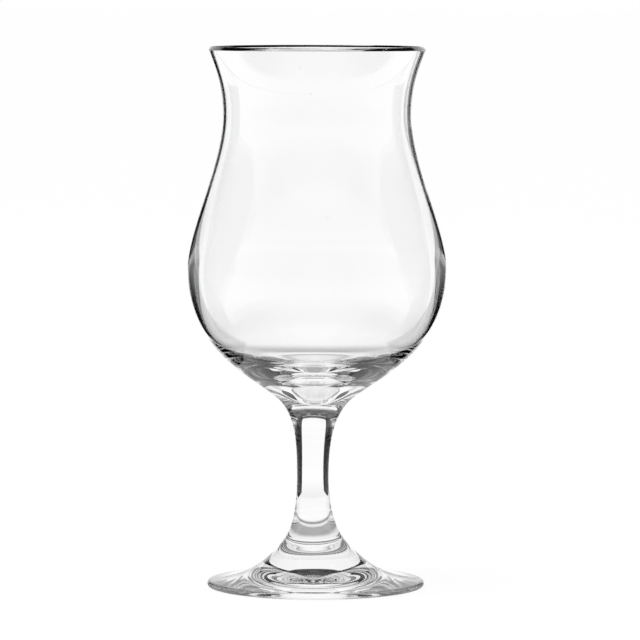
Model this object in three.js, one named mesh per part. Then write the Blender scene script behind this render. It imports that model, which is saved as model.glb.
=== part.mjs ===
// A stemmed hourglass drinking glass, made of three gathers of clear glass fused end to end: a blown bowl, a drawn
// stem and a pressed foot. Millimetres, +Z up, with the origin on the table under the middle of the foot.
import * as THREE from "three";

// Lengths along the axis, from the table up
const FOOT_HEIGHT = 15; // table to the collar, where the stem is fused on
const STEM_LENGTH = 46; // collar to the neck, where the bowl is fused on
const NECK_TO_BELLY = 45.5;
const BELLY_TO_WAIST = 50.8;
const WAIST_TO_RIM = 22.7;
const COLLAR_TO_SLIM = 21.2; // collar to the slimmest part of the stem
const FLOOR_RISE = 12.2; // neck to the edge of the bowl's floor
const BASE_THICKNESS = 2.8; // solid glass between the neck and the bottom of the dip in that floor

// Radii of the outside
const RIM_RADIUS = 36.1;
const WAIST_RADIUS = 31.3;
const BELLY_RADIUS = 43.1;
const NECK_RADIUS = 10.6;
const SLIM_RADIUS = 5.3;
const COLLAR_RADIUS = 10.6;
const FOOT_RADIUS = 36.2;

// Walls, edges, the floor of the bowl and the hollow under the foot
const RIM_WALL = 1.3;
const RIM_CORNER = 0.2; // rounding of the two corners of the cut rim
const WAIST_WALL = 1.4;
const BELLY_WALL = 2.1;
const FLOOR_RADIUS = 14.5; // where the inside of the bowl turns from wall to floor
const FOOT_EDGE = 2.1;
const REST_RING_WIDTH = 4; // the flat ring that the glass stands on
const HOLLOW_DEPTH = 3.1;

// Directions of the outline: degrees from upright on the walls, and from level on the rim, the floor and the foot
const RIM_FLARE = 20.75;
const RIM_CUT = 38; // the cut rim falls outwards
const FLOOR_FALL = 4.3; // the floor falls inwards at its edge
const NECK_SLOPE = 37.4;
const COLLAR_SLOPE = 40.5;
const FOOT_EDGE_SLOPE = 8;

// How far each stretch of the outline keeps its end directions, as a share of its own chord
const PULL = {
  rimToWaist: [0.36, 0.395],
  waistToBelly: [0.3, 0.23],
  bellyToNeck: [0.545, 0.17],
  insideToBelly: [0.25, 0.31],
  bellyToFloor: [0.37, 0.48],
  floorToDip: [0.32, 0.247],
  neckToSlim: [0.315, 0.36],
  slimToCollar: [0.235, 0.32],
  collarToEdge: [0.395, 0.455],
  hollow: [0.45, 0.3],
};

// Faceting of the solids
const SIDES = 40;
const WALL_STEPS = 7;
const FLARE_STEPS = 6;
const ROUND_STEPS = 6;
const CORNER_STEPS = 3;

// Heights and radii that follow from the sizes above
const NECK_HEIGHT = FOOT_HEIGHT + STEM_LENGTH;
const BELLY_HEIGHT = NECK_HEIGHT + NECK_TO_BELLY;
const WAIST_HEIGHT = BELLY_HEIGHT + BELLY_TO_WAIST;
const RIM_HEIGHT = WAIST_HEIGHT + WAIST_TO_RIM;
const SLIM_HEIGHT = FOOT_HEIGHT + COLLAR_TO_SLIM;
const FLOOR_HEIGHT = NECK_HEIGHT + FLOOR_RISE;
const DIP_HEIGHT = NECK_HEIGHT + BASE_THICKNESS;
const EDGE_ROUND = FOOT_EDGE / 2;
const REST_OUTER = FOOT_RADIUS - EDGE_ROUND;
const REST_INNER = REST_OUTER - REST_RING_WIDTH;

// Directions in the half-plane of radius and height
const UP = new THREE.Vector2(0, 1);
const OUT = new THREE.Vector2(1, 0);

// The upward direction that leans outwards from upright by an angle in degrees.
function leaning(degrees) {
  const angle = THREE.MathUtils.degToRad(degrees);
  return new THREE.Vector2(Math.sin(angle), Math.cos(angle));
}

// A place on the outline: its radius, its height and the direction in which the outline passes it.
function station(radius, height, direction) {
  return { point: new THREE.Vector2(radius, height), direction };
}

// The points of one smooth stretch between two stations, without the first point.
function stretch(from, to, [pullFrom, pullTo], steps) {
  const chord = from.point.distanceTo(to.point);
  const leave = from.point.clone().addScaledVector(from.direction, pullFrom * chord);
  const arrive = to.point.clone().addScaledVector(to.direction, -pullTo * chord);
  return new THREE.CubicBezierCurve(from.point, leave, arrive, to.point).getPoints(steps).slice(1);
}

// The point of a round about a centre, at an angle from the outward direction.
function onRound(centre, radius, angle) {
  return new THREE.Vector2(Math.cos(angle), Math.sin(angle)).multiplyScalar(radius).add(centre);
}

// The points of a round of the outline about a centre, without the first point.
function round(centre, radius, fromAngle, toAngle, steps) {
  const points = [];
  for (let step = 1; step <= steps; step += 1) {
    points.push(onRound(centre, radius, THREE.MathUtils.lerp(fromAngle, toAngle, step / steps)));
  }
  return points;
}

// The opposite of a direction.
function reversed(direction) {
  return direction.clone().negate();
}

// A turned solid from an outline that starts and ends on the axis and runs up the outside.
function turned(name, outline, colour) {
  const geometry = new THREE.LatheGeometry(outline, SIDES);
  geometry.rotateX(Math.PI / 2);
  const material = new THREE.MeshStandardMaterial({ color: colour, roughness: 0.04, metalness: 0 });
  const mesh = new THREE.Mesh(geometry, material);
  mesh.name = name;
  return mesh;
}

// Stations that neighbouring pieces share, with directions that run up the glass
const neck = station(NECK_RADIUS, NECK_HEIGHT, leaning(NECK_SLOPE));
const collar = station(COLLAR_RADIUS, FOOT_HEIGHT, leaning(-COLLAR_SLOPE));

// The bowl: a thick base on the neck with a dip in its floor, a wall thickest at the belly, and a cut rim.
function bowl() {
  const flare = leaning(RIM_FLARE);
  const cutLength = (RIM_WALL - 2 * RIM_CORNER) / Math.cos(THREE.MathUtils.degToRad(RIM_CUT - RIM_FLARE));
  const alongCut = leaning(RIM_CUT - 90).multiplyScalar(cutLength);
  const outerCorner = new THREE.Vector2(RIM_RADIUS - RIM_CORNER, RIM_HEIGHT - RIM_CORNER - alongCut.y);
  const innerCorner = outerCorner.clone().add(alongCut);
  const outerSide = -THREE.MathUtils.degToRad(RIM_FLARE);
  const innerSide = outerSide + Math.PI;
  const cutSide = Math.PI / 2 - THREE.MathUtils.degToRad(RIM_CUT);

  const belly = station(BELLY_RADIUS, BELLY_HEIGHT, UP);
  const waist = station(WAIST_RADIUS, WAIST_HEIGHT, UP);
  const rim = { point: onRound(outerCorner, RIM_CORNER, outerSide), direction: flare };
  const innerRim = { point: onRound(innerCorner, RIM_CORNER, innerSide), direction: reversed(flare) };
  const innerWaist = station(WAIST_RADIUS - WAIST_WALL, WAIST_HEIGHT, reversed(UP));
  const innerBelly = station(BELLY_RADIUS - BELLY_WALL, BELLY_HEIGHT, reversed(UP));
  const floorEdge = station(FLOOR_RADIUS, FLOOR_HEIGHT, leaning(-90 - FLOOR_FALL));
  const dip = station(0, DIP_HEIGHT, reversed(OUT));

  const outline = [
    new THREE.Vector2(0, NECK_HEIGHT),
    neck.point,
    ...stretch(neck, belly, PULL.bellyToNeck.toReversed(), WALL_STEPS + FLARE_STEPS),
    ...stretch(belly, waist, PULL.waistToBelly.toReversed(), WALL_STEPS),
    ...stretch(waist, rim, PULL.rimToWaist.toReversed(), ROUND_STEPS),
    ...round(outerCorner, RIM_CORNER, outerSide, cutSide, CORNER_STEPS),
    onRound(innerCorner, RIM_CORNER, cutSide),
    ...round(innerCorner, RIM_CORNER, cutSide, innerSide, CORNER_STEPS),
    ...stretch(innerRim, innerWaist, PULL.rimToWaist, ROUND_STEPS),
    ...stretch(innerWaist, innerBelly, PULL.insideToBelly, WALL_STEPS),
    ...stretch(innerBelly, floorEdge, PULL.bellyToFloor, WALL_STEPS + FLARE_STEPS),
    ...stretch(floorEdge, dip, PULL.floorToDip, WALL_STEPS),
  ];
  return turned("bowl", outline, 0xe4ebe8);
}

// The stem: solid, slimmest below its middle, and flared to the neck and the collar.
function stem() {
  const slim = station(SLIM_RADIUS, SLIM_HEIGHT, UP);
  const outline = [
    new THREE.Vector2(0, FOOT_HEIGHT),
    collar.point,
    ...stretch(collar, slim, PULL.slimToCollar.toReversed(), FLARE_STEPS),
    ...stretch(slim, neck, PULL.neckToSlim.toReversed(), FLARE_STEPS),
    new THREE.Vector2(0, NECK_HEIGHT),
  ];
  return turned("stem", outline, 0xe1e9e5);
}

// The foot: a flat ring to stand on, a shallow hollow inside it, a rounded edge and a top that sweeps up to the collar.
function foot() {
  const edgeCentre = new THREE.Vector2(REST_OUTER, EDGE_ROUND);
  const edgeTop = Math.PI / 2 - THREE.MathUtils.degToRad(FOOT_EDGE_SLOPE);
  const edge = round(edgeCentre, EDGE_ROUND, -Math.PI / 2, edgeTop, ROUND_STEPS);
  const topEdge = { point: edge.at(-1), direction: leaning(FOOT_EDGE_SLOPE - 90) };
  const hollowTop = station(0, HOLLOW_DEPTH, OUT);
  const hollowRim = station(REST_INNER, 0, OUT);
  const outline = [
    hollowTop.point,
    ...stretch(hollowTop, hollowRim, PULL.hollow, FLARE_STEPS),
    new THREE.Vector2(REST_OUTER, 0),
    ...edge,
    ...stretch(topEdge, collar, PULL.collarToEdge.toReversed(), WALL_STEPS),
    new THREE.Vector2(0, FOOT_HEIGHT),
  ];
  return turned("foot", outline, 0xdfe7e3);
}

const glass = new THREE.Group();
glass.add(bowl(), stem(), foot());

export default glass;
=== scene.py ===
"""A stemmed hourglass drinking glass of clear glass, seen against the light on a white table.

The glass is three gathers fused end to end: a blown bowl, a drawn stem and a pressed foot. Lengths are
metres, +Z is up, and the origin is on the table under the middle of the foot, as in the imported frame.
"""

import logging
import math
from dataclasses import dataclass
from enum import Enum
from typing import Dict, List, Tuple, Union

import bmesh
import bpy
from mathutils import Matrix, Vector, noise
from mathutils.geometry import interpolate_bezier


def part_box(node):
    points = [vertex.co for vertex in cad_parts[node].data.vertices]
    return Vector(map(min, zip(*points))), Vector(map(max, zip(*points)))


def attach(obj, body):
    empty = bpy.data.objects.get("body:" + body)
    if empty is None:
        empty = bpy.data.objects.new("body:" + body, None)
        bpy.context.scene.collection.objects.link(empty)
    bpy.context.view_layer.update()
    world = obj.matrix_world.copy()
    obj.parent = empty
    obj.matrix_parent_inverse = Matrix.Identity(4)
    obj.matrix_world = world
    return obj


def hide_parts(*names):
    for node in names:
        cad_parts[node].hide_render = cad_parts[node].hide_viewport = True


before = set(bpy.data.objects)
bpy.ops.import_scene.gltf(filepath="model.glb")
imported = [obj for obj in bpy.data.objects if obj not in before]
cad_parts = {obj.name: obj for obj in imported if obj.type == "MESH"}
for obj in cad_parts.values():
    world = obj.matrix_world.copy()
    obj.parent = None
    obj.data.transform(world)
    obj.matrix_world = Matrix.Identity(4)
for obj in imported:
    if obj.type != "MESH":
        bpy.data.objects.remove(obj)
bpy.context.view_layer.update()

LOG = logging.getLogger("drinking_glass")

# A span holds where a change starts and where it ends
Colour = Tuple[float, float, float]
Span = Tuple[float, float]
Value = Union[bpy.types.NodeSocket, float]

MM = 0.001
SAME_PLACE = 1e-7
LIGHT_BOUNCES = 24

# The photograph's frame, in pixels
PHOTO_SIDE = 640


class Skin(Enum):
    """The material slots of a piece."""

    GLASS = 0
    FUSED = 1


class Side(Enum):
    """The two sides of the glass, as signs of X."""

    LEFT = -1.0
    RIGHT = 1.0


def leaning(degrees: float) -> Vector:
    """Gives the upward direction that leans outwards from upright.

    Args:
        degrees: The lean from upright, positive outwards.

    Returns:
        A unit vector in the half-plane of radius (X) and height (Z).
    """
    angle = math.radians(degrees)
    return Vector((math.sin(angle), 0.0, math.cos(angle)))


def on_round(centre: Vector, radius: float, angle: float) -> Vector:
    """Gives a point of a round in the half-plane of radius and height.

    Args:
        centre: The round's centre.
        radius: Its radius.
        angle: The point's angle from the outward direction, in degrees.

    Returns:
        The point.
    """
    return centre + radius * leaning(90.0 - angle)


@dataclass(frozen=True)
class Station:
    """A place on an outline, with the direction in which the outline passes it."""

    radius: float
    height: float
    lean: float = 0.0

    def point(self) -> Vector:
        """Gives the place in the half-plane of radius and height."""
        return Vector((self.radius, 0.0, self.height))

    def heading(self) -> Vector:
        """Gives the unit direction of the outline here."""
        return leaning(self.lean)


@dataclass(frozen=True)
class Bend:
    """How a stretch of an outline bends between two stations.

    It keeps its two end directions over these shares of its chord, and is drawn in this number of steps.
    """

    leave: float
    arrive: float
    steps: int


class Outline:
    """A chain of points in the half-plane of radius and height, which a piece is spun from."""

    def __init__(self, start: Vector) -> None:
        """Starts the chain.

        Args:
            start: The first point, on the axis.
        """
        self.points: List[Vector] = []
        self.inside: List[float] = []
        self.line(start)

    def line(self, point: Vector, inside: float = 0.0) -> None:
        """Adds one point, marked 1 on the inside of the bowl and else 0."""
        self.points.append(point)
        self.inside.append(inside)

    def stretch(self, start: Station, end: Station, bend: Bend, inside: float = 0.0) -> None:
        """Adds a smooth stretch from one station to the next, without its first point.

        Args:
            start: Where the stretch leaves.
            end: Where it arrives.
            bend: How it bends on the way.
            inside: 1 on the inside of the bowl, else 0.
        """
        first, last = start.point(), end.point()
        chord = (last - first).length
        leave = first + start.heading() * bend.leave * chord
        arrive = last - end.heading() * bend.arrive * chord
        for point in interpolate_bezier(first, leave, arrive, last, bend.steps + 1)[1:]:
            self.line(point, inside)

    def round(self, centre: Vector, radius: float, angles: Span, steps: int, inside: float = 0.0) -> None:
        """Adds a round about a centre, without its first point.

        Args:
            centre: The round's centre.
            radius: Its radius.
            angles: Its first and last angles from the outward direction, in degrees.
            steps: How many points it adds.
            inside: 1 on the inside of the bowl, else 0.
        """
        start, end = angles
        for step in range(1, steps + 1):
            self.line(on_round(centre, radius, start + (end - start) * step / steps), inside)


def new_object(name: str, work: bmesh.types.BMesh) -> bpy.types.Object:
    """Turns a finished bmesh into an object of the scene.

    Args:
        name: The object's name.
        work: The bmesh, which is freed.

    Returns:
        The object, at the origin.
    """
    mesh = bpy.data.meshes.new(name)
    work.to_mesh(mesh)
    work.free()
    made = bpy.data.objects.new(name, mesh)
    bpy.context.scene.collection.objects.link(made)
    return made


@dataclass
class GlassPiece:
    """One gather of glass, spun from its outline about the axis."""

    node: str
    slot: str
    sides: int = 192
    bow: float = 1.3 * MM
    bow_height: float = 37.0 * MM
    bow_spread: float = 30.0 * MM

    def outline(self) -> Outline:
        """Gives the outline that the piece is spun from."""
        raise NotImplementedError

    def joint_heights(self) -> List[float]:
        """Gives the heights of the piece's fused faces."""
        raise NotImplementedError

    def shifted(self, place: Vector, inside: float) -> Vector:
        """Gives where a point lies on the drawn glass, which is never quite true.

        Args:
            place: The point on the true turned shape.
            inside: Not used here; 1 on the inside of the bowl, else 0.

        Returns:
            The point, moved aside with the slight bow of the stem.
        """
        reach = (place.z - self.bow_height) / self.bow_spread
        return place - Vector((self.bow * math.exp(-reach * reach), 0.0, 0.0))

    def build(self, glass: bpy.types.Material, fused: bpy.types.Material) -> bpy.types.Object:
        """Makes the piece and puts it in place of its CAD node.

        Args:
            glass: The material of the polished surface.
            fused: The material of the faces where two gathers have run together.

        Returns:
            The finished object.
        """
        piece = new_object(f"{self.node}_glass", self.spun())
        self.dress(piece, glass, fused)
        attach(piece, "root")
        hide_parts(self.node)
        LOG.info("%s: %d faces", piece.name, len(piece.data.polygons))
        return piece

    def spun(self) -> bmesh.types.BMesh:
        """Spins the outline into a closed mesh.

        Returns:
            The mesh, with its fused faces marked and its points shifted.
        """
        work = bmesh.new()
        inner = work.verts.layers.float.new("inside")
        chain = self.outline()
        corners = [work.verts.new(point) for point in chain.points]
        for corner, inside in zip(corners, chain.inside):
            corner[inner] = inside
        edges = [work.edges.new(pair) for pair in zip(corners, corners[1:])]
        bmesh.ops.spin(
            work, geom=corners + edges, cent=(0, 0, 0), axis=(0, 0, 1), dvec=(0, 0, 0),
            angle=2 * math.pi, steps=self.sides, use_merge=True, use_duplicate=False,
        )
        bmesh.ops.remove_doubles(work, verts=work.verts, dist=SAME_PLACE)
        bmesh.ops.recalc_face_normals(work, faces=work.faces)
        self.mark_joints(work)
        for corner in work.verts:
            corner.co = self.shifted(corner.co, corner[inner])
        return work

    def mark_joints(self, work: bmesh.types.BMesh) -> None:
        """Gives the fused faces their own slot, flat, and keeps the outside smooth up to their rings.

        Args:
            work: The spun mesh, before it is shifted.
        """
        for face in work.faces:
            flat = self.is_fused(face)
            face.material_index = Skin.FUSED.value if flat else Skin.GLASS.value
            face.smooth = not flat
        for edge in work.edges:
            edge.smooth = len({face.material_index for face in edge.link_faces}) == 1

    def is_fused(self, face: bmesh.types.BMFace) -> bool:
        """Tells whether a face lies flat in one of the fused joints.

        Args:
            face: A face of the piece.

        Returns:
            True if all its corners are at a joint's height.
        """
        return any(
            all(abs(corner.co.z - height) < SAME_PLACE for corner in face.verts)
            for height in self.joint_heights()
        )

    def dress(
        self, piece: bpy.types.Object, glass: bpy.types.Material, fused: bpy.types.Material,
    ) -> None:
        """Gives the piece its two materials, in the order of its slots."""
        piece.data.materials.append(glass)
        piece.data.materials.append(fused)


NECK_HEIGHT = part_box("bowl")[0].z
COLLAR_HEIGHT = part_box("stem")[0].z
NECK = Station(radius=10.6 * MM, height=NECK_HEIGHT, lean=37.4)
COLLAR = Station(radius=10.6 * MM, height=COLLAR_HEIGHT, lean=-40.5)


@dataclass
class Bowl(GlassPiece):
    """The blown bowl: a thick base with a dip in its floor, a wall thickest at the belly, and a cut rim."""

    node: str = "bowl"
    slot: str = "bowl_glass"
    belly_radius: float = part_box("bowl")[1].x
    rim_height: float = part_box("bowl")[1].z
    belly_height: float = NECK_HEIGHT + 45.5 * MM
    waist_height: float = NECK_HEIGHT + 96.3 * MM
    floor_height: float = NECK_HEIGHT + 12.2 * MM
    dip_height: float = NECK_HEIGHT + 2.8 * MM
    rim_radius: float = 36.1 * MM
    waist_radius: float = 31.3 * MM
    floor_radius: float = 14.5 * MM
    rim_wall: float = 1.4 * MM
    rim_corner: float = 0.2 * MM
    corner_steps: int = 8
    waist_wall: float = 1.4 * MM
    belly_wall: float = 2.1 * MM
    rim_flare: float = 20.75
    rim_cut: float = 50.0
    floor_fall: float = 4.3
    lower_wall: Bend = Bend(0.17, 0.545, 60)
    upper_wall: Bend = Bend(0.23, 0.3, 36)
    flare: Bend = Bend(0.395, 0.36, 24)
    inner_flare: Bend = Bend(0.36, 0.395, 24)
    inner_upper_wall: Bend = Bend(0.25, 0.31, 36)
    inner_lower_wall: Bend = Bend(0.37, 0.48, 48)
    floor: Bend = Bend(0.32, 0.247, 40)
    uneven_wall: float = 0.24 * MM
    ripple: float = 0.02 * MM
    ripple_length: float = 14.0 * MM

    def joint_heights(self) -> List[float]:
        """Gives the height of the neck."""
        return [NECK_HEIGHT]

    def rim_corners(self) -> Tuple[Vector, Vector]:
        """Places the two corners of the cut rim.

        Returns:
            The centres of the outer and the inner corner's rounds.
        """
        turn = math.radians(self.rim_cut - self.rim_flare)
        cut_length = (self.rim_wall - 2 * self.rim_corner) / math.cos(turn)
        along_cut = cut_length * leaning(self.rim_cut - 90.0)
        outer = Vector((self.rim_radius, 0.0, self.rim_height - along_cut.z))
        outer -= Vector((self.rim_corner, 0.0, self.rim_corner))
        return outer, outer + along_cut

    def outline(self) -> Outline:
        """Draws the bowl's outline, up the outside, over the rim and down the inside.

        Returns:
            The outline, from the neck's middle to the dip's.
        """
        outer_corner, inner_corner = self.rim_corners()
        outer_side, cut_side, inner_side = -self.rim_flare, 90.0 - self.rim_cut, 180.0 - self.rim_flare
        outer_meet = on_round(outer_corner, self.rim_corner, outer_side)
        inner_meet = on_round(inner_corner, self.rim_corner, inner_side)

        belly = Station(self.belly_radius, self.belly_height)
        waist = Station(self.waist_radius, self.waist_height)
        rim = Station(outer_meet.x, outer_meet.z, self.rim_flare)
        inner_rim = Station(inner_meet.x, inner_meet.z, 180.0 + self.rim_flare)
        inner_waist = Station(self.waist_radius - self.waist_wall, self.waist_height, 180.0)
        inner_belly = Station(self.belly_radius - self.belly_wall, self.belly_height, 180.0)
        floor_edge = Station(self.floor_radius, self.floor_height, -90.0 - self.floor_fall)
        dip = Station(0.0, self.dip_height, -90.0)

        chain = Outline(Vector((0.0, 0.0, NECK_HEIGHT)))
        chain.line(NECK.point())
        chain.stretch(NECK, belly, self.lower_wall)
        chain.stretch(belly, waist, self.upper_wall)
        chain.stretch(waist, rim, self.flare)
        chain.round(outer_corner, self.rim_corner, (outer_side, cut_side), self.corner_steps)
        chain.line(on_round(inner_corner, self.rim_corner, cut_side), inside=1.0)
        chain.round(inner_corner, self.rim_corner, (cut_side, inner_side), self.corner_steps, inside=1.0)
        chain.stretch(inner_rim, inner_waist, self.inner_flare, inside=1.0)
        chain.stretch(inner_waist, inner_belly, self.inner_upper_wall, inside=1.0)
        chain.stretch(inner_belly, floor_edge, self.inner_lower_wall, inside=1.0)
        chain.stretch(floor_edge, dip, self.floor, inside=1.0)
        return chain

    def shifted(self, place: Vector, inside: float) -> Vector:
        """Gives where a point lies on the blown glass, whose wall is a little uneven.

        Args:
            place: The point on the true turned shape.
            inside: 1 on the inside of the bowl, else 0.

        Returns:
            The point, moved with the bow, the uneven wall and the ripple of the blown inside.
        """
        bowed = super().shifted(place, inside)
        if not inside:
            return bowed
        level = (place.z - self.belly_height) / (self.waist_height - self.belly_height)
        aside = Vector((self.uneven_wall * min(1.0, max(0.0, level)), 0.0, 0.0))
        outward = Vector((place.x, place.y, 0.0)).normalized()
        wave = noise.noise(place / self.ripple_length)
        return bowed - aside + outward * self.ripple * wave


@dataclass
class Stem(GlassPiece):
    """The drawn stem: solid, slimmest below its middle, flared to the neck and the collar."""

    node: str = "stem"
    slot: str = "stem_glass"
    slim_radius: float = 5.3 * MM
    slim_height: float = COLLAR_HEIGHT + 21.2 * MM
    lower_flare: Bend = Bend(0.32, 0.235, 44)
    upper_flare: Bend = Bend(0.36, 0.315, 44)

    def joint_heights(self) -> List[float]:
        """Gives the heights of the collar and the neck."""
        return [COLLAR_HEIGHT, NECK_HEIGHT]

    def outline(self) -> Outline:
        """Draws the stem's outline, from the collar up to the neck.

        Returns:
            The outline, from the collar's middle to the neck's.
        """
        slim = Station(self.slim_radius, self.slim_height)
        chain = Outline(Vector((0.0, 0.0, COLLAR_HEIGHT)))
        chain.line(COLLAR.point())
        chain.stretch(COLLAR, slim, self.lower_flare)
        chain.stretch(slim, NECK, self.upper_flare)
        chain.line(Vector((0.0, 0.0, NECK_HEIGHT)))
        return chain


@dataclass
class Foot(GlassPiece):
    """The pressed foot: a ring to stand on, a hollow, a rounded edge and a top swept up to the collar."""

    node: str = "foot"
    slot: str = "foot_glass"
    foot_radius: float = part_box("foot")[1].x
    edge: float = 2.1 * MM
    edge_slope: float = 8.0
    edge_steps: int = 16
    rest_ring: float = 4.0 * MM
    hollow: float = 3.1 * MM
    underside: Bend = Bend(0.45, 0.3, 36)
    top: Bend = Bend(0.455, 0.395, 60)

    def joint_heights(self) -> List[float]:
        """Gives the height of the collar."""
        return [COLLAR_HEIGHT]

    def outline(self) -> Outline:
        """Draws the foot's outline, from the hollow out to the edge and up to the collar.

        Returns:
            The outline, from the hollow's middle to the collar's.
        """
        edge_round = self.edge / 2
        rest_outer = self.foot_radius - edge_round
        edge_centre = Vector((rest_outer, 0.0, edge_round))
        hollow_top = Station(0.0, self.hollow, 90.0)
        hollow_rim = Station(rest_outer - self.rest_ring, 0.0, 90.0)
        chain = Outline(hollow_top.point())
        chain.stretch(hollow_top, hollow_rim, self.underside)
        chain.line(Vector((rest_outer, 0.0, 0.0)))
        chain.round(edge_centre, edge_round, (-90.0, 90.0 - self.edge_slope), self.edge_steps)
        edge_meet = chain.points[-1]
        edge_top = Station(edge_meet.x, edge_meet.z, self.edge_slope - 90.0)
        chain.stretch(edge_top, COLLAR, self.top)
        chain.line(Vector((0.0, 0.0, COLLAR_HEIGHT)))
        return chain


class Wiring:
    """Adds and joins the nodes of one node tree."""

    def __init__(self, tree: bpy.types.NodeTree) -> None:
        """Takes the tree to work on."""
        self.tree = tree

    def node(self, kind: str) -> bpy.types.Node:
        """Adds a node of a kind."""
        return self.tree.nodes.new(kind)

    def feed(self, value: Value, target: bpy.types.NodeSocket) -> None:
        """Joins a socket to another, or sets a number on it.

        Args:
            value: The socket or number that is fed.
            target: The input that takes it.
        """
        if isinstance(value, bpy.types.NodeSocket):
            self.tree.links.new(value, target)
        else:
            target.default_value = value

    def math(self, operation: str, *values: Value) -> bpy.types.NodeSocket:
        """Adds a Math node.

        Args:
            operation: Its operation.
            values: Its inputs, in order.

        Returns:
            Its result.
        """
        worker = self.node("ShaderNodeMath")
        worker.operation = operation
        for value, target in zip(values, worker.inputs):
            self.feed(value, target)
        return worker.outputs[0]

    def fade(self, value: Value, span: Span, low: Value, high: Value) -> bpy.types.NodeSocket:
        """Adds a smooth change from one value to another.

        Args:
            value: What the change follows.
            span: Where it starts and where it ends.
            low: The value before it.
            high: The value after it.

        Returns:
            The changing value.
        """
        start, end = span
        ramp = self.node("ShaderNodeMapRange")
        ramp.interpolation_type = "SMOOTHSTEP"
        settings = {"Value": value, "From Min": start, "From Max": end, "To Min": low, "To Max": high}
        for name, setting in settings.items():
            self.feed(setting, ramp.inputs[name])
        return ramp.outputs["Result"]

    def place(self) -> bpy.types.NodeSocket:
        """Adds the object's own coordinates."""
        return self.node("ShaderNodeTexCoord").outputs["Object"]

    def axes(self, vector: bpy.types.NodeSocket) -> List[bpy.types.NodeSocket]:
        """Splits a vector.

        Args:
            vector: The vector.

        Returns:
            Its X, Y and Z.
        """
        parts = self.node("ShaderNodeSeparateXYZ")
        self.feed(vector, parts.inputs["Vector"])
        return list(parts.outputs)


class FirePolish:
    """The node group that every gather shares: the slow ripple of its skin, and the specks held in it."""

    def __init__(self) -> None:
        """Builds the group once."""
        self.group = bpy.data.node_groups.new("fire_polish", "ShaderNodeTree")
        sockets = self.group.interface
        sockets.new_socket("Place", in_out="INPUT", socket_type="NodeSocketVector")
        for name in ("Ripple Length", "Speck Spacing", "Speck Radius"):
            sockets.new_socket(name, in_out="INPUT", socket_type="NodeSocketFloat")
        for name in ("Ripple", "Speck"):
            sockets.new_socket(name, in_out="OUTPUT", socket_type="NodeSocketFloat")
        wiring = Wiring(self.group)
        given = wiring.node("NodeGroupInput").outputs
        result = wiring.node("NodeGroupOutput").inputs
        wave = wiring.node("ShaderNodeTexNoise")
        wiring.feed(given["Place"], wave.inputs["Vector"])
        wiring.feed(wiring.math("DIVIDE", 1.0, given["Ripple Length"]), wave.inputs["Scale"])
        wiring.feed(1.0, wave.inputs["Detail"])
        wiring.feed(wave.outputs["Fac"], result["Ripple"])
        cells = wiring.node("ShaderNodeTexVoronoi")
        wiring.feed(given["Place"], cells.inputs["Vector"])
        wiring.feed(wiring.math("DIVIDE", 1.0, given["Speck Spacing"]), cells.inputs["Scale"])
        distance = wiring.math("MULTIPLY", cells.outputs["Distance"], given["Speck Spacing"])
        wiring.feed(wiring.math("LESS_THAN", distance, given["Speck Radius"]), result["Speck"])


@dataclass(frozen=True)
class GlassFinish:
    """Clear glass: its tint, its fire-polished skin and the specks held in it."""

    name: str
    tint: Colour = (0.995, 0.998, 0.996)
    speck_tint: Colour = (0.62, 0.64, 0.63)
    speck_spacing: float = 13.0 * MM
    speck_radius: float = 0.25 * MM
    ripple_length: float = 11.0 * MM
    ripple_height: float = 0.012 * MM
    ior: float = 1.52

    def material(self, polish: FirePolish) -> bpy.types.Material:
        """Makes the material of the polished surface.

        Args:
            polish: The node group that every gather shares.

        Returns:
            The material.
        """
        skin = bpy.data.materials.new(self.name)
        skin.use_nodes = True
        wiring = Wiring(skin.node_tree)
        detail = wiring.node("ShaderNodeGroup")
        detail.node_tree = polish.group
        wiring.feed(wiring.place(), detail.inputs["Place"])
        wiring.feed(self.ripple_length, detail.inputs["Ripple Length"])
        wiring.feed(self.speck_spacing, detail.inputs["Speck Spacing"])
        wiring.feed(self.speck_radius, detail.inputs["Speck Radius"])
        colour = wiring.node("ShaderNodeMix")
        colour.data_type = "RGBA"
        wiring.feed(detail.outputs["Speck"], colour.inputs["Factor"])
        colour.inputs["A"].default_value = (*self.tint, 1.0)
        colour.inputs["B"].default_value = (*self.speck_tint, 1.0)
        wave = wiring.node("ShaderNodeBump")
        wiring.feed(self.ripple_height, wave.inputs["Distance"])
        wiring.feed(detail.outputs["Ripple"], wave.inputs["Height"])
        shader = skin.node_tree.nodes["Principled BSDF"].inputs
        wiring.feed(colour.outputs["Result"], shader["Base Color"])
        wiring.feed(wave.outputs["Normal"], shader["Normal"])
        shader["Roughness"].default_value = 0.0
        shader["IOR"].default_value = self.ior
        shader["Transmission Weight"].default_value = 1.0
        return skin


@dataclass(frozen=True)
class FusedFinish:
    """A face where two gathers have run together, which light passes as if it weren't there."""

    name: str = "fused_face"

    def material(self) -> bpy.types.Material:
        """Makes the material of the fused faces.

        Returns:
            The material.
        """
        skin = bpy.data.materials.new(self.name)
        skin.use_nodes = True
        skin.node_tree.nodes["Principled BSDF"].inputs["Alpha"].default_value = 0.0
        return skin


class StudioPaint:
    """A paint of the studio, which shows with its own light and isn't used as a lamp."""

    def __init__(self, name: str) -> None:
        """Makes the material.

        Args:
            name: Its name.
        """
        self.material = bpy.data.materials.new(name)
        self.material.use_nodes = True
        self.material.cycles.emission_sampling = "NONE"
        self.nodes = self.material.node_tree.nodes
        self.wiring = Wiring(self.material.node_tree)

    def glow(self, level: Value) -> bpy.types.NodeSocket:
        """Adds the paint's own light.

        Args:
            level: Its strength, where 1 is white.

        Returns:
            Its shader.
        """
        light = self.wiring.node("ShaderNodeEmission")
        self.wiring.feed(level, light.inputs["Strength"])
        return light.outputs["Emission"]

    def show(self, shader: bpy.types.NodeSocket) -> None:
        """Puts a shader on the surface."""
        self.wiring.feed(shader, self.nodes["Material Output"].inputs["Surface"])


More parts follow.
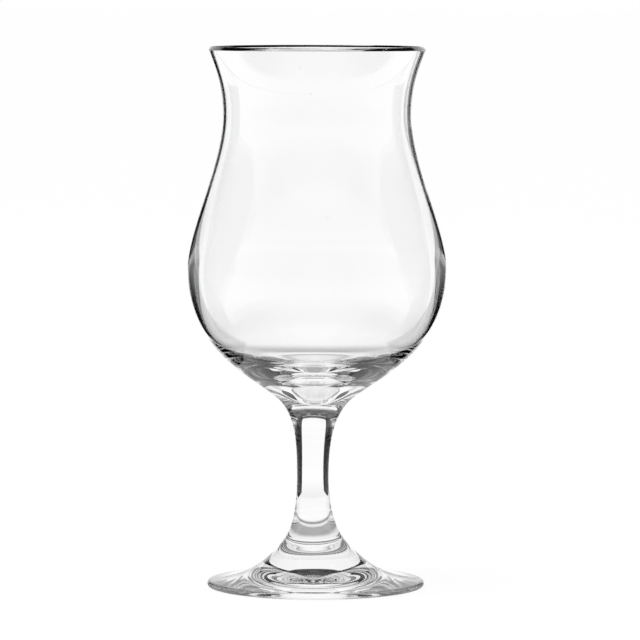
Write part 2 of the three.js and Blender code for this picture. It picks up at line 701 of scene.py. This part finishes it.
def turn_with(part: bpy.types.Object, eye: bpy.types.Object) -> None:
    """Keeps a level part of the studio turned towards the camera, as if the glass stood on a turntable.

    Args:
        part: The part.
        eye: The camera.
    """
    turn = part.constraints.new("COPY_ROTATION")
    turn.target = eye
    turn.use_x = False
    turn.use_y = False


def show_only_in_glass(part: bpy.types.Object) -> None:
    """Marks a part of the studio that is seen only in and through the glass.

    Args:
        part: The part.
    """
    part.visible_camera = False
    part.visible_diffuse = False
    part.visible_shadow = False


@dataclass
class Viewpoint:
    """The camera, at the photograph's viewing angle. Its angles are degrees."""

    distance: float = 1.552
    height: float = 0.207
    pitch: float = 4.345
    roll: float = 0.1
    focal_pixels: float = 4672.8
    aside_pixels: float = 3.05
    sensor: float = 36.0
    reach: float = 100.0

    def build(self) -> bpy.types.Object:
        """Makes the camera and gives it to the scene.

        Returns:
            The camera.
        """
        lens = bpy.data.cameras.new("photograph")
        lens.sensor_width = self.sensor
        lens.lens = self.sensor * self.focal_pixels / PHOTO_SIDE
        lens.clip_end = self.reach
        eye = bpy.data.objects.new("photograph", lens)
        bpy.context.scene.collection.objects.link(eye)
        yaw = -math.atan(self.aside_pixels / self.focal_pixels)
        turn = (
            Matrix.Rotation(yaw, 4, "Z")
            @ Matrix.Rotation(math.radians(90.0 - self.pitch), 4, "X")
            @ Matrix.Rotation(math.radians(self.roll), 4, "Z")
        )
        eye.matrix_world = Matrix.Translation((0.0, -self.distance, self.height)) @ turn
        bpy.context.scene.camera = eye
        return eye


@dataclass
class Table:
    """The white table top, which keeps the glass's faint shadow.

    To the eye it is white. In the glass it has a painted shadow where the foot covers or touches it,
    painted shade far in front, and a painted sheen, greyer seen steeply, in a ring round the glass. The
    slant is 0 from straight above and 1 along the table.
    """

    side: float = 40.0
    drop: float = 0.1 * MM
    colour: Colour = (0.9, 0.9, 0.9)
    shadow_share: float = 0.08
    # Painted shadow on the table where it shows in the glass: darkest under the foot's middle, a little
    # darker under its hollow, dark round its rest ring.
    covered_shadow_level: float = 0.42
    covered_shadow_edge: Span = (14.0 * MM, 19.0 * MM)
    hollow_shadow_level: float = 0.95
    hollow_shadow_edge: Span = (28.5 * MM, 33.5 * MM)
    contact_shadow_level: float = 0.2
    contact_shadow_edge: Span = (36.0 * MM, 45.0 * MM)
    # Painted sheen on the table where it shows in the glass: greyer seen steeply, white towards grazing, in
    # a ring round the glass.
    sheen_steep_level: float = 0.55
    sheen_slant: Span = (0.52, 0.92)
    sheen_ring_inner_edge: Span = (0.1, 0.15)
    sheen_ring_outer_edge: Span = (0.2, 0.38)
    # Painted shade on the table far in front, where it shows in the glass.
    front_level: float = 0.75
    front_shade_edge: Span = (-0.8, -0.15)

    def build(self, eye: bpy.types.Object) -> bpy.types.Object:
        """Makes the table top.

        Args:
            eye: The camera, which it turns with.

        Returns:
            The table top.
        """
        work = bmesh.new()
        bmesh.ops.create_grid(work, x_segments=1, y_segments=1, size=self.side / 2)
        bmesh.ops.translate(work, verts=work.verts, vec=(0.0, 0.0, -self.drop))
        table = new_object("table", work)
        table.data.materials.append(self.paint())
        turn_with(table, eye)
        return table

    def paint(self) -> bpy.types.Material:
        """Makes the white paint, which keeps a share of its matte surface for the shadow.

        Returns:
            The material.
        """
        white = StudioPaint("white_table")
        wiring = white.wiring
        matte = white.nodes["Principled BSDF"]
        matte.inputs["Base Color"].default_value = (*self.colour, 1.0)
        matte.inputs["Roughness"].default_value = 1.0
        matte.inputs["Specular IOR Level"].default_value = 0.0
        path = wiring.node("ShaderNodeLightPath").outputs
        level = wiring.math("MAXIMUM", self.level_in_glass(wiring), path["Is Camera Ray"])
        in_glass = wiring.math("MAXIMUM", path["Is Glossy Ray"], path["Is Transmission Ray"])
        seen = wiring.math("MULTIPLY", path["Is Camera Ray"], 1.0 - self.shadow_share)
        mix = wiring.node("ShaderNodeMixShader")
        wiring.feed(wiring.math("MAXIMUM", seen, in_glass), mix.inputs["Fac"])
        wiring.feed(matte.outputs["BSDF"], mix.inputs[1])
        wiring.feed(white.glow(level), mix.inputs[2])
        white.show(mix.outputs["Shader"])
        return white.material

    def level_in_glass(self, wiring: Wiring) -> bpy.types.NodeSocket:
        """Adds the table's brightness as it shows in the glass, with its painted shadow, shade and sheen.

        Args:
            wiring: The paint's nodes.

        Returns:
            The brightness, where 1 is white.
        """
        across, along, _ = wiring.axes(wiring.place())
        squares = [wiring.math("MULTIPLY", part, part) for part in (across, along)]
        apart = wiring.math("SQRT", wiring.math("ADD", *squares))
        # Painted sheen: greyer seen steeply, white towards grazing, only in a ring round the glass.
        slant = wiring.node("ShaderNodeLayerWeight").outputs["Facing"]
        level = wiring.fade(slant, self.sheen_slant, self.sheen_steep_level, 1.0)
        level = wiring.fade(apart, self.sheen_ring_inner_edge, 1.0, level)
        level = wiring.fade(apart, self.sheen_ring_outer_edge, level, 1.0)
        # Painted shade far in front of the glass.
        level = wiring.fade(along, self.front_shade_edge, self.front_level, level)
        # Painted shadow round the foot's rest ring, under its hollow and under its middle.
        level = wiring.fade(apart, self.contact_shadow_edge, self.contact_shadow_level, level)
        level = wiring.fade(apart, self.hollow_shadow_edge, self.hollow_shadow_level, level)
        return wiring.fade(apart, self.covered_shadow_edge, self.covered_shadow_level, level)


@dataclass(frozen=True)
class BlackCard:
    """A black card that stands on the table beside the glass and draws dark edges in it.

    Each corner is a length back from the middle of the glass and a height over the table.
    """

    name: str
    corners: Tuple[Span, ...]
    aside: float = 78.0 * MM
    black: float = 0.004
    # A painted band of light half way up the card's front, fading out towards its back.
    painted_light: float = 0.27
    painted_light_low: Span = (86.0 * MM, 112.0 * MM)
    painted_light_high: Span = (118.0 * MM, 136.0 * MM)
    painted_light_back: Span = (70.0 * MM, 100.0 * MM)

    def build(self, side: Side) -> bpy.types.Object:
        """Makes the card.

        Args:
            side: The side of the glass that it stands on.

        Returns:
            The card.
        """
        work = bmesh.new()
        work.faces.new([work.verts.new((side.value * self.aside, back, up)) for back, up in self.corners])
        card = new_object(f"{self.name}_{side.name.lower()}", work)
        card.data.materials.append(self.paint())
        show_only_in_glass(card)
        return card

    def paint(self) -> bpy.types.Material:
        """Makes the card's black, with a painted band of light half way up its front.

        Returns:
            The material.
        """
        black = StudioPaint(self.name)
        wiring = black.wiring
        _, along, up = wiring.axes(wiring.place())
        # Painted light: a paler glowing band half way up the card's front, fading out towards its back.
        level = wiring.fade(up, self.painted_light_low, self.black, self.painted_light)
        level = wiring.fade(up, self.painted_light_high, level, self.black)
        level = wiring.fade(along, self.painted_light_back, level, self.black)
        black.show(black.glow(level))
        return black.material


CARDS = (
    BlackCard("low_card", ((-0.008, 0.018), (0.06, 0.0), (0.11, 0.0), (0.11, 0.146), (0.022, 0.106))),
    BlackCard("tall_card", ((0.06, 0.0), (0.126, 0.0), (0.2, 0.188), (0.076, 0.188))),
)


@dataclass
class LightTent:
    """The surroundings in the glass: white behind and beside, dimmer in front and dark above.

    Angles are degrees, around from straight behind and up from level. The tent and its cards are level and
    turn with the camera, so the glass is always seen against the white.
    """

    radius: float = 1.4
    segments: int = 64
    rings: int = 32
    height: float = 0.08
    front_level: float = 0.65
    wall_turn: Span = (60.0, 150.0)
    sky_level: float = 0.037
    sky_turn: Span = (100.0, 160.0)
    sky_edge: Span = (27.0, 31.0)

    def build(self, eye: bpy.types.Object) -> bpy.types.Object:
        """Makes the tent and the cards that stand in it.

        Args:
            eye: The camera, which it turns with.

        Returns:
            The tent.
        """
        work = bmesh.new()
        bmesh.ops.create_uvsphere(
            work, u_segments=self.segments, v_segments=self.rings, radius=self.radius,
        )
        bmesh.ops.bisect_plane(
            work, geom=work.verts[:] + work.edges[:] + work.faces[:],
            plane_co=(0.0, 0.0, -self.height), plane_no=(0.0, 0.0, 1.0), clear_inner=True,
        )
        tent = new_object("light_tent", work)
        tent.location.z = self.height
        tent.data.materials.append(self.cloth())
        turn_with(tent, eye)
        show_only_in_glass(tent)
        for side in Side:
            for card in CARDS:
                stood = card.build(side)
                stood.location.z = -self.height
                stood.parent = tent
        return tent

    def cloth(self) -> bpy.types.Material:
        """Makes the tent's cloth, whose light follows the angle around and the angle up.

        Returns:
            The material.
        """
        cloth = StudioPaint("tent_cloth")
        wiring = cloth.wiring
        across, along, up = wiring.axes(wiring.place())
        around = wiring.math("DEGREES", wiring.math("ARCTAN2", wiring.math("ABSOLUTE", across), along))
        rise = wiring.math("DEGREES", wiring.math("ARCSINE", wiring.math("DIVIDE", up, self.radius)))
        wall = wiring.fade(around, self.wall_turn, 1.0, self.front_level)
        sky = wiring.fade(around, self.sky_turn, self.sky_level, self.front_level)
        cloth.show(cloth.glow(wiring.fade(rise, self.sky_edge, wall, sky)))
        return cloth.material


@dataclass
class SoftLight:
    """The plain soft light of the room: white all round, and one broad lamp over the table."""

    lamp_size: float = 1.2
    lamp_power: float = 12.0
    lamp_place: Tuple[float, float, float] = (-0.5, -0.3, 1.6)

    def build(self) -> bpy.types.Object:
        """Makes the white surroundings and hangs the lamp.

        Returns:
            The lamp.
        """
        world = bpy.data.worlds.new("white_room")
        bpy.context.scene.world = world
        world.use_nodes = True
        world.node_tree.nodes["Background"].inputs["Color"].default_value = (1.0, 1.0, 1.0, 1.0)
        lamp = bpy.data.lights.new("soft_lamp", "AREA")
        lamp.shape = "DISK"
        lamp.size = self.lamp_size
        lamp.energy = self.lamp_power
        hung = bpy.data.objects.new("soft_lamp", lamp)
        bpy.context.scene.collection.objects.link(hung)
        hung.location = self.lamp_place
        hung.rotation_euler = (-hung.location).to_track_quat("-Z", "Y").to_euler()
        hung.visible_glossy = False
        hung.visible_transmission = False
        return hung


def set_light_paths() -> None:
    """Lets light bounce often enough to come out of the thick base and foot."""
    cycles = bpy.context.scene.cycles
    cycles.max_bounces = LIGHT_BOUNCES
    cycles.glossy_bounces = LIGHT_BOUNCES
    cycles.transmission_bounces = LIGHT_BOUNCES
    cycles.transparent_max_bounces = LIGHT_BOUNCES


def main() -> None:
    """Builds the camera, the studio and the three gathers of glass."""
    logging.basicConfig(level=logging.INFO)
    bpy.context.scene.view_settings.view_transform = "Standard"
    set_light_paths()
    eye = Viewpoint().build()
    Table().build(eye)
    LightTent().build(eye)
    SoftLight().build()
    polish = FirePolish()
    fused = FusedFinish().material()
    for piece in (Bowl(), Stem(), Foot()):
        piece.build(GlassFinish(piece.slot).material(polish), fused)


if __name__ == "__main__":
    main()
